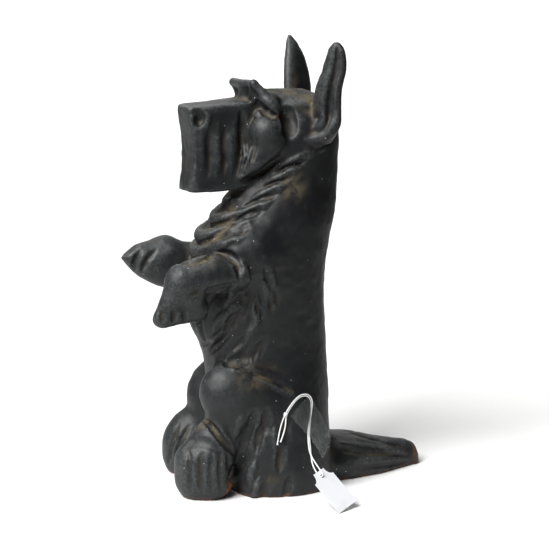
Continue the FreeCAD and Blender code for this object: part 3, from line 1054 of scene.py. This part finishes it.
def round_spots(points, spots):
    """How strongly each point lies in round spots: place, radius and strength of each."""
    total = np.zeros(len(points))
    for place, radius, strength in spots:
        away = np.linalg.norm(points - np.array(place), axis=1)
        total = np.maximum(total, strength * np.clip(1.3 - away / radius, 0, 1))
    return total


# Place, radius and strength of each spot: rust and dust stains, and worn paint with a painted highlight
RUST_SPOTS = [((33, -10, 318), 4.5, 1.0), ((50, -60, 8), 9, 0.9), ((40, -84, 2), 8, 0.8),
              ((46, -66, 22), 5, 0.6), ((2, 128, 6), 9, 0.8), ((30, 40, 330), 5, 0.5)]
DUST_SPOTS = [((20, -55, 232), 14, 0.9), ((15, -66, 219), 12, 1.0), ((38, 0, 258), 13, 0.9),
              ((40, -80, 206), 14, 0.6), ((34, -78, 62), 9, 1.0), ((52, -40, 102), 14, 0.7),
              ((60, -26, 15), 7, 0.5), ((-30, 20, 334), 14, 0.8), ((30, 20, 332), 14, 0.9),
              ((-38, -100, 205), 12, 0.3)]
# Worn paint with a painted highlight on the feet, paws and ear, where the light falls most
WORN_AND_LIT_SPOTS = [((36, -88, 25), 30, 0.8), ((40, -102, 176), 26, 0.7), ((-30, -112, 192), 26, 0.7),
              ((46, 28, 345), 26, 0.65), ((45, -60, 92), 18, 0.25), ((-38, -80, 30), 28, 0.5),
              ((12, -78, 326), 12, 0.4), ((46, -40, 10), 16, 0.3), ((0, 115, 18), 16, 0.25)]


BROAD_COUNTS = 0.5          # as a part of what fine crests and hollows count
WEAR_AND_HIGHLIGHT_STARTS = 0.15          # how far a crest stands out before its paint wears and is painted lighter as a highlight
DUST_STARTS = 0.05          # how deep a hollow is before dust settles
FULL_AFTER = 0.5            # and how much further until the wear with its painted highlight, or the dust, is full
DUST_IN_HOLLOWS = 0.55
RIM_RUST = 0.6
RIM_HEIGHT = 3.0


def paint_masks(mesh, points, fine, broad, axes):
    """Stores how worn and lit by a painted highlight, dusty and rusty each point of a casting is."""
    crest = sampled(fine, axes, points) + BROAD_COUNTS * sampled(broad, axes, points)
    flat = np.zeros(len(mesh.vertices) * 3, np.float32)
    mesh.vertices.foreach_get("normal", flat)
    up = flat.reshape(-1, 3)[:, 2]
    # Crests, more so where they face up, get worn paint and a painted highlight
    worn_and_lit = np.clip((crest - WEAR_AND_HIGHLIGHT_STARTS) / FULL_AFTER, 0, 1) * np.clip(0.55 + 0.6 * up, 0.15, 1)
    worn_and_lit = np.maximum(worn_and_lit, round_spots(points, WORN_AND_LIT_SPOTS) * np.clip(0.8 + up + crest, 0, 1))
    settled = np.clip((-crest - DUST_STARTS) / FULL_AFTER, 0, 1) * np.clip(0.25 + up, 0, 1)
    dusty = round_spots(points, DUST_SPOTS) * np.clip(0.45 + up - crest, 0, 1)
    dust = np.clip(DUST_IN_HOLLOWS * settled + dusty, 0, 1)
    rim = np.clip(1 - points[:, 2] / RIM_HEIGHT, 0, 1) * RIM_RUST
    rust = np.maximum(rim, round_spots(points, RUST_SPOTS))
    for name, values in (("crest", worn_and_lit), ("dust", dust), ("rust", rust)):
        store(mesh, name, values.astype(np.float32))


def halved(name, node_name, whole, side, material):
    """One half of the castings: cut just off the parting plane, and its cut faces filled."""
    form = bmesh.new()
    form.from_mesh(whole)
    cut = bmesh.ops.bisect_plane(form, geom=form.verts[:] + form.edges[:] + form.faces[:], dist=1e-7,
                                 plane_co=(side * SEAM * MM, 0, 0), plane_no=(-side, 0, 0), clear_outer=True)
    rim = [item for item in cut["geom_cut"] if isinstance(item, bmesh.types.BMEdge)]
    filled = bmesh.ops.triangle_fill(form, edges=rim, use_beauty=True, normal=(-side, 0, 0))
    for item in filled["geom"]:
        if isinstance(item, bmesh.types.BMFace):
            item.smooth = False
    bmesh.ops.recalc_face_normals(form, faces=form.faces[:])
    for edge in rim:
        edge.smooth = False
    mesh = bpy.data.meshes.new(name)
    form.to_mesh(mesh)
    form.free()
    mesh.materials.append(material)
    piece = add_piece(name, mesh)
    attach(piece, "dog")
    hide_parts(node_name)


def make_castings(material):
    clay, hollow = build()
    x, y, z = clay.axes[0][:, None, None], clay.axes[1][None, :, None], clay.axes[2][None, None, :]
    shell = np.maximum(np.maximum(clay.field, -hollow), -z)
    for across, up, seat in SCREWS:
        radius = np.sqrt((y - across) ** 2 + (z - up) ** 2)
        shell = np.maximum(shell, -np.maximum(radius - COUNTERBORE_R, x - seat))
        shell = np.maximum(shell, -np.maximum(radius - CLEARANCE_R, x - SEAM))
    fine = blurred(clay.field, 1) - clay.field
    broad = blurred(clay.field, 4) - clay.field
    points, quads = surface(shell, clay.axes)
    whole = bpy.data.meshes.new("whole")
    whole.from_pydata((points * MM).tolist(), [], quads.tolist())
    whole.polygons.foreach_set("use_smooth", [True] * len(whole.polygons))
    paint_masks(whole, points, fine, broad, clay.axes)
    halved("left_half", "left_half_casting", whole, 1, material)
    halved("right_half", "right_half_casting", whole, -1, material)
    bpy.data.meshes.remove(whole)
    return clay


# ---- Tape
TAPE_AT = np.array([52.5, 12.5, 55.5])
TAPE_NORMAL = unit((0.87, 0.45, 0.19))
TAPE_TILT = 57.0
TAPE_LENGTH = 50.0
TAPE_WIDTH = 25.0
TAPE_LIFT = 0.8             # over the paint
TAPE_STRING_LIFT = 1.6      # more than that, over the string
TAPE_THICKNESS = 0.18
TAPE_ROWS = 70
TAPE_COLUMNS = 38
STRING_SHOWS = 2.6          # how far from the string the tape still bulges
WRINKLE = 0.45
WRINKLES_START = 6.0        # from the tape's middle, towards its low end
WRINKLES_GROW = 20.0        # over this length, towards its high end


def tape_axes():
    """The directions along the tape, downwards, and across it."""
    level = unit(np.cross(TAPE_NORMAL, (0, 0, 1)))
    steep = np.cross(TAPE_NORMAL, level)
    tilt = math.radians(TAPE_TILT)
    along = math.cos(tilt) * level - math.sin(tilt) * steep
    if along[2] > 0:
        along = -along
    return along, np.cross(TAPE_NORMAL, along)


def sheet_faces(rows, columns):
    """The faces of a closed sheet: its upper points row by row, and then its lower ones."""
    wide = columns + 1
    half = wide * (rows + 1)
    faces = []
    for i in range(rows):
        for j in range(columns):
            a = i * wide + j
            faces.append((a, a + 1, a + wide + 1, a + wide))
            faces.append((half + a, half + a + wide, half + a + wide + 1, half + a + 1))
    edge = list(range(columns)) + [i * wide + columns for i in range(rows)]
    edge += [rows * wide + j for j in range(columns, 0, -1)] + [i * wide for i in range(rows, 0, -1)]
    for a, b in zip(edge, edge[1:] + edge[:1]):
        faces.append((b, a, half + a, half + b))
    return faces


def make_tape(clay, strings, material):
    """A strip of tape laid on the flank over the string, smooth at its low end and wrinkled at the other."""
    along, across = tape_axes()
    lower = []
    upper = []
    crumples = []
    for i in range(TAPE_ROWS + 1):
        for j in range(TAPE_COLUMNS + 1):
            u = TAPE_LENGTH * (i / TAPE_ROWS - 0.5)
            v = TAPE_WIDTH * (j / TAPE_COLUMNS - 0.5)
            start = TAPE_AT + u * along + v * across + 16 * TAPE_NORMAL
            skin = start - clay.depth_along(start, -TAPE_NORMAL, 40) * TAPE_NORMAL
            gap = min(np.linalg.norm(line - skin, axis=1).min() for line in strings)
            crumple = min(max((WRINKLES_START - u) / WRINKLES_GROW, 0), 1)
            folds = (math.sin(0.9 * u + 0.5 * v) + math.sin(1.3 * v - 0.6 * u + 2)
                     + math.sin(0.45 * u - 1.1 * v))
            lift = TAPE_LIFT + TAPE_STRING_LIFT * math.exp(-(gap / STRING_SHOWS) ** 2)
            lift += WRINKLE * crumple * abs(folds)
            crumples.append(crumple)
            lower.append(skin + lift * TAPE_NORMAL)
            upper.append(skin + (lift + TAPE_THICKNESS) * TAPE_NORMAL)
    faces = sheet_faces(TAPE_ROWS, TAPE_COLUMNS)
    tape = add_mesh("tape", np.array(upper + lower) * MM, faces, material)
    store(tape.data, "crumple", crumples + crumples)
    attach(tape, "dog")
    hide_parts("tape_strip")


# ---- Card tag
TAG_ACROSS = Vector((-0.50, 0.835, 0.226)).normalized()
TAG_DOWN = Vector((0.516, 0.499, -0.696)).normalized()
TAG_WIDTH = 0.024
TAG_LENGTH = 0.038
TAG_THICKNESS = 0.0004
TAG_HOLE_R = 0.0016
TAG_TOP = 0.005
SHOULDER_DROP = 0.0075
SHOULDER_IN = 0.0055
TAG_BEND = 0.0004           # how far the card's ends curl off its plane
TAG_SLICES = 24
SCOOP_STEPS = 8
HOLE_STEPS = 24


def card_outline():
    """The card's outline about its hole, with its top corners scooped out."""
    half = TAG_WIDTH / 2
    bottom = TAG_TOP - TAG_LENGTH
    right = [(half, TAG_TOP - SHOULDER_DROP)]
    for i in range(SCOOP_STEPS - 1, 0, -1):
        turn = math.pi / 2 * i / SCOOP_STEPS
        right.append((half - SHOULDER_IN * math.cos(turn), TAG_TOP - SHOULDER_DROP * math.sin(turn)))
    right.append((half - SHOULDER_IN, TAG_TOP))
    return [(-half, bottom), (half, bottom)] + right + [(-x, y) for x, y in reversed(right)]


def card_hole():
    turns = [2 * math.pi * i / HOLE_STEPS for i in range(HOLE_STEPS)]
    return [(TAG_HOLE_R * math.cos(turn), TAG_HOLE_R * math.sin(turn)) for turn in turns]


def flat_card():
    """The card lying flat, sliced across its length so that it can bend."""
    form = bmesh.new()
    for loop in (card_outline(), card_hole()):
        points = [form.verts.new((x, y, 0)) for x, y in loop]
        for a, b in zip(points, points[1:] + points[:1]):
            form.edges.new((a, b))
    bmesh.ops.triangle_fill(form, edges=form.edges[:], use_beauty=True)
    for i in range(1, TAG_SLICES):
        height = TAG_TOP - TAG_LENGTH + TAG_LENGTH * i / TAG_SLICES
        bmesh.ops.bisect_plane(form, geom=form.verts[:] + form.edges[:] + form.faces[:],
                               plane_co=(0, height, 0), plane_no=(0, 1, 0))
    bmesh.ops.recalc_face_normals(form, faces=form.faces[:])
    for face in form.faces:
        if face.normal.z < 0:
            face.normal_flip()
    raised = bmesh.ops.extrude_face_region(form, geom=form.faces[:])
    for item in raised["geom"]:
        if isinstance(item, bmesh.types.BMVert):
            item.co.z += TAG_THICKNESS
    return form


def make_tag(material):
    """The card, with scooped top corners, a punched hole and a slight curl."""
    form = flat_card()
    half_length = TAG_LENGTH / 2
    middle = TAG_TOP - half_length
    up = -TAG_DOWN
    normal = TAG_ACROSS.cross(up)
    for vertex in form.verts:
        x, y, z = vertex.co
        curl = TAG_BEND * (((y - middle) / half_length) ** 2 - (middle / half_length) ** 2)
        lift = z - TAG_THICKNESS / 2 + curl
        vertex.co = Vector(TAG_HOLE_AT) + TAG_ACROSS * x + up * y + normal * lift
    bmesh.ops.recalc_face_normals(form, faces=form.faces[:])
    mesh = bpy.data.meshes.new("card_tag")
    form.to_mesh(mesh)
    form.free()
    mesh.materials.append(material)
    piece = add_piece("card_tag", mesh)
    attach(piece, "tag")
    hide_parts("tag_card")
    return piece


# ---- String, its knot and its cut ends
KNOT_AT = np.array([0.0588, -0.0140, 0.0701])
KNOT_WAY = np.array([0.55, -0.35, -0.76])
KNOT_R = 0.00105
KNOT_STRAND_R = 0.0005
KNOT_TURNS = 2.4
KNOT_LENGTH = 0.0024
KNOT_POINTS = 60


def make_knot(material):
    """An overhand knot: one string's turns round the other."""
    way = unit(KNOT_WAY)
    across = unit(np.cross(way, (1.0, 0.0, 0.2)))
    up = np.cross(way, across)
    line = []
    for i in range(KNOT_POINTS + 1):
        part = i / KNOT_POINTS
        turn = 2 * math.pi * KNOT_TURNS * part
        rise = KNOT_LENGTH * (part - 0.5) - 0.0006 * math.sin(2 * turn)
        out = KNOT_R * (1 + 0.15 * math.sin(3 * turn))
        line.append(KNOT_AT + way * rise + around(out, turn, across, up))
    points, faces = tube_mesh([line], [KNOT_STRAND_R], 10)
    knot = add_mesh("string_knot_turns", points, faces, material)
    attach(knot, "dog")
    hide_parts("string_knot")
    return knot


def make_string(name, node_name, line, length, material):
    points, faces = tube_mesh(twisted(line, length), [STRAND_R] * STRANDS)
    piece = add_mesh(name, points, faces, material)
    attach(piece, "dog")
    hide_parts(node_name)


# ---- Floor, light and world
AWAY = Vector((-0.945, 0.327, 0.0))         # from the camera towards the dog
ASIDE = Vector((0.327, 0.945, 0.0))         # to the right of the camera
FLOOR_R = 1.92
RING_STEP = 0.04
WALL_BEND = 0.7
WALL_TOP = 3.2
BEND_STEPS = 12
SPOKES = 180
LIT_POOL_TOWARDS_CAMERA = 0.27                 # the painted pool of light is white this far, and then fades to grey painted shade
LIT_POOL_ASIDE = 0.43
LIT_POOL_LEANS = 0.12
LIT_POOL_SPREADS = 0.2
FADE = 0.22


def lit_pool_share(spot):
    """1 where the floor is white in the painted pool of light, 0 where it is grey painted shade: on the
    camera's side and to its right.
    """
    far = max(spot.dot(AWAY), 0.0)
    aside = abs(spot.dot(ASIDE) + LIT_POOL_LEANS)
    past = max(-spot.dot(AWAY) - LIT_POOL_TOWARDS_CAMERA, aside - LIT_POOL_ASIDE - LIT_POOL_SPREADS * far)
    return min(max(1 - past / FADE, 0.0), 1.0)


def stage_paper():
    """Matt paper, white in a painted pool of light round the dog and grey as painted shade beyond it, by the
    stored values.
    """
    material, tree, shader, place = new_material("stage_paper")
    white = stored(tree, "white")
    faint = math_node(tree, "MULTIPLY", noise(tree, place, 6.0), 0.04)
    # Painted light: white inside the pool round the dog, grey painted shade outside it
    color = mix_color(tree, white, (0.10, 0.10, 0.10, 1), (0.80, 0.80, 0.795, 1))
    tree.links.new(mix_color(tree, faint, color, (0.5, 0.5, 0.5, 1)), shader.inputs["Base Color"])
    shader.inputs["Roughness"].default_value = 0.9
    shader.inputs["Specular IOR Level"].default_value = 0.1
    return material


def make_stage():
    """A round paper floor that curves up into a wall all round."""
    profile = [(RING_STEP * i, 0.0) for i in range(1, int(FLOOR_R / RING_STEP) + 1)]
    for i in range(1, BEND_STEPS + 1):
        turn = math.pi / 2 * i / BEND_STEPS
        profile.append((FLOOR_R + WALL_BEND * math.sin(turn), WALL_BEND * (1 - math.cos(turn))))
    profile.append((FLOOR_R + WALL_BEND, WALL_TOP))
    points = [Vector((0, 0, 0))]
    for radius, height in profile:
        for i in range(SPOKES):
            turn = 2 * math.pi * i / SPOKES
            points.append(Vector((radius * math.cos(turn), radius * math.sin(turn), height)))
    faces = [(0, 1 + i, 1 + (i + 1) % SPOKES) for i in range(SPOKES)]
    for ring in range(len(profile) - 1):
        start = 1 + ring * SPOKES
        for i in range(SPOKES):
            j = (i + 1) % SPOKES
            faces.append((start + i, start + SPOKES + i, start + SPOKES + j, start + j))
    floor = add_mesh("floor", points, faces, stage_paper())
    # The stored values paint a pool of light round the dog that fades to painted shade
    store(floor.data, "white", [lit_pool_share(point) for point in points])


def add_light(name, at, looks_at, size, power):
    data = bpy.data.lights.new(name, "AREA")
    data.shape = "RECTANGLE"
    data.size, data.size_y = size
    data.energy = power
    light = bpy.data.objects.new(name, data)
    light.location = at
    light.rotation_euler = (Vector(looks_at) - Vector(at)).to_track_quat("-Z", "Y").to_euler()
    bpy.context.scene.collection.objects.link(light)


def make_light():
    add_light("window", (0.8, -1.35, 1.75), (0, -0.02, 0.12), (1.2, 1.2), 98)
    add_light("ceiling", (-0.5, -0.7, 2.0), (0, 0, 0.2), (1.2, 1.2), 12)
    add_light("backdrop", (-1.3, 0.2, 1.7), (-2.1, 0.7, 0.5), (2.5, 1.0), 36)
    world = bpy.data.worlds.new("studio")
    world.use_nodes = True
    background = world.node_tree.nodes["Background"]
    background.inputs["Color"].default_value = (0.96, 0.98, 1.0, 1)
    background.inputs["Strength"].default_value = 0.022
    bpy.context.scene.world = world
    bpy.context.scene.view_settings.view_transform = "Standard"


def main():
    paint = black_paint()
    thread = white_string()
    inner, inner_length = route_line(INNER_ROUTE)
    outer, outer_length = route_line(OUTER_ROUTE)
    tag = make_tag(white_card())
    knot = make_knot(thread)
    make_string("string_inner_twist", "string_inner", inner, inner_length, thread)
    make_string("string_outer_twist", "string_outer", outer, outer_length, thread)
    clay = make_castings(paint)
    make_tape(clay, [inner / MM, outer / MM], clear_tape())
    steel = screw_steel()
    for name in ("shoulder_screw", "haunch_screw"):
        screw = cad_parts[name]
        screw.data.materials.clear()
        screw.data.materials.append(steel)
    make_stage()
    make_light()


main()

bpy.context.view_layer.update()
